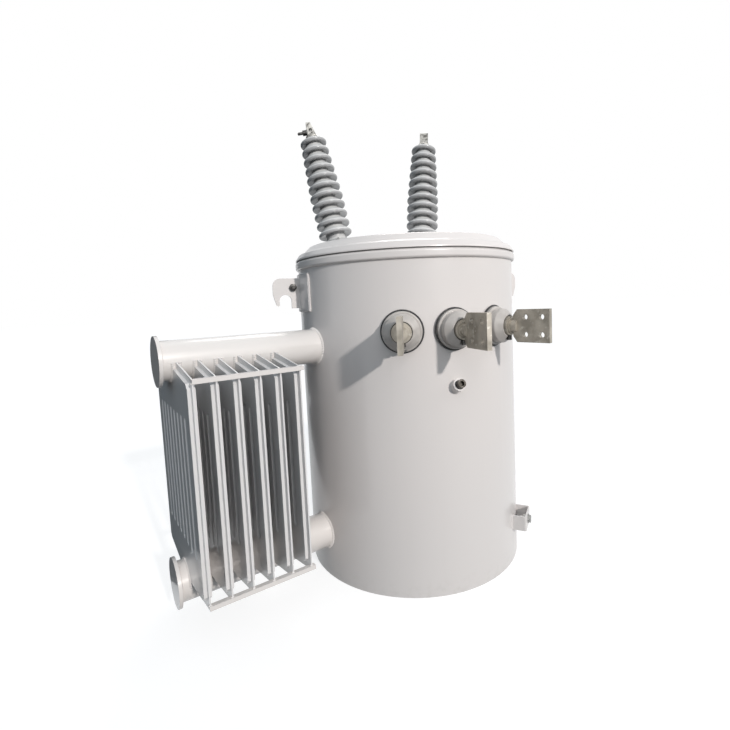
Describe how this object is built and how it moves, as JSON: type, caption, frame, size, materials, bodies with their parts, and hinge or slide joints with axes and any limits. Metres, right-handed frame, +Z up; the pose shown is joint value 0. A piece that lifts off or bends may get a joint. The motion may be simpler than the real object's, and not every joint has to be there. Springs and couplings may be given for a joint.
{
  "type": "pole mounted transformer",
  "caption": "Single-phase pole transformer with round oil tank, two shedded high-voltage bushings, spade terminals and a finned side radiator.",
  "frame": {"origin": "on the tank's axis at its flat bottom face", "axes": "+Z up; -Y is the low-voltage side with the three spade terminals, +Y is the pole side; -X is the side of the radiator"},
  "size_m": [1.143, 0.882, 1.4194],
  "materials": {
    "tank_paint": "gloss light grey paint",
    "radiator_paint": "gloss off-white paint",
    "porcelain": "glossy grey glaze",
    "moulded_grey": "satin grey moulding",
    "gasket_rubber": "matte black",
    "tinned_metal": "tinned brass, dull grey",
    "steel_fastener": "zinc plated"
  },
  "bodies": {
    "root": {"ground_bolt": "steel_fastener", "ground_bracket": "tank_paint", "header_cap_lower": "radiator_paint", "header_cap_upper": "radiator_paint", "header_lower": "radiator_paint", "header_upper": "radiator_paint", "hv_boss_left": "tank_paint", "hv_boss_right": "tank_paint", "hv_bushing_left": "porcelain", "hv_bushing_right": "porcelain", "hv_clamp_bolt_left": "steel_fastener", "hv_clamp_bolt_right": "steel_fastener", "hv_terminal_left": "tinned_metal", "hv_terminal_right": "tinned_metal", "level_coupling": "tank_paint", "level_plug": "steel_fastener", "lid": "tank_paint", "lid_gasket": "gasket_rubber", "lifting_lug_left": "tank_paint", "lifting_lug_right": "tank_paint", "lug_pad_left": "tank_paint", "lug_pad_right": "tank_paint", "lv_bushing_centre": "moulded_grey", "lv_bushing_left": "moulded_grey", "lv_bushing_right": "moulded_grey", "lv_gasket_centre": "gasket_rubber", "lv_gasket_left": "gasket_rubber", "lv_gasket_right": "gasket_rubber", "lv_terminal_centre": "tinned_metal", "lv_terminal_left": "tinned_metal", "lv_terminal_right": "tinned_metal", "pole_bracket_lower": "tank_paint", "pole_bracket_upper": "tank_paint", "radiator_panel_1": "radiator_paint", "radiator_panel_2": "radiator_paint", "radiator_panel_3": "radiator_paint", "radiator_panel_4": "radiator_paint", "radiator_panel_5": "radiator_paint", "radiator_panel_6": "radiator_paint", "tank_bottom": "tank_paint", "tank_shell": "tank_paint", "tie_bar_lower_front": "radiator_paint", "tie_bar_lower_rear": "radiator_paint", "tie_bar_upper_front": "radiator_paint", "tie_bar_upper_rear": "radiator_paint"}
  },
  "joints": []
}
